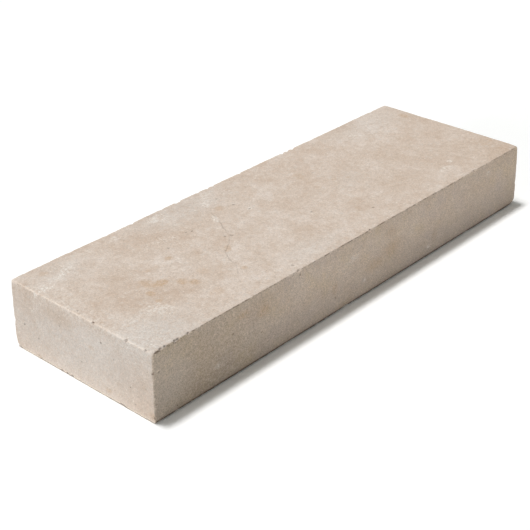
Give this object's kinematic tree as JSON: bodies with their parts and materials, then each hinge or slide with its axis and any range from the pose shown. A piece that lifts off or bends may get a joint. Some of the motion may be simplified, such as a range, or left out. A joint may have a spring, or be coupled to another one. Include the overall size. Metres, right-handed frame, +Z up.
{
  "type": "limestone block step",
  "caption": "Long solid rectangular stone step with a flat tread, sawn faces and worn, chipped arrises, laid on its bed as one riser of an outdoor stair.",
  "frame": {"origin": "middle of the bed, the underside that the block lies on", "axes": "+X along the riser towards the right end, +Y from the riser to the back, +Z up through the tread"},
  "size_m": [1.2, 0.4, 0.15],
  "materials": {
    "limestone": "matte"
  },
  "bodies": {
    "root": {"step_block": "limestone"}
  },
  "joints": []
}
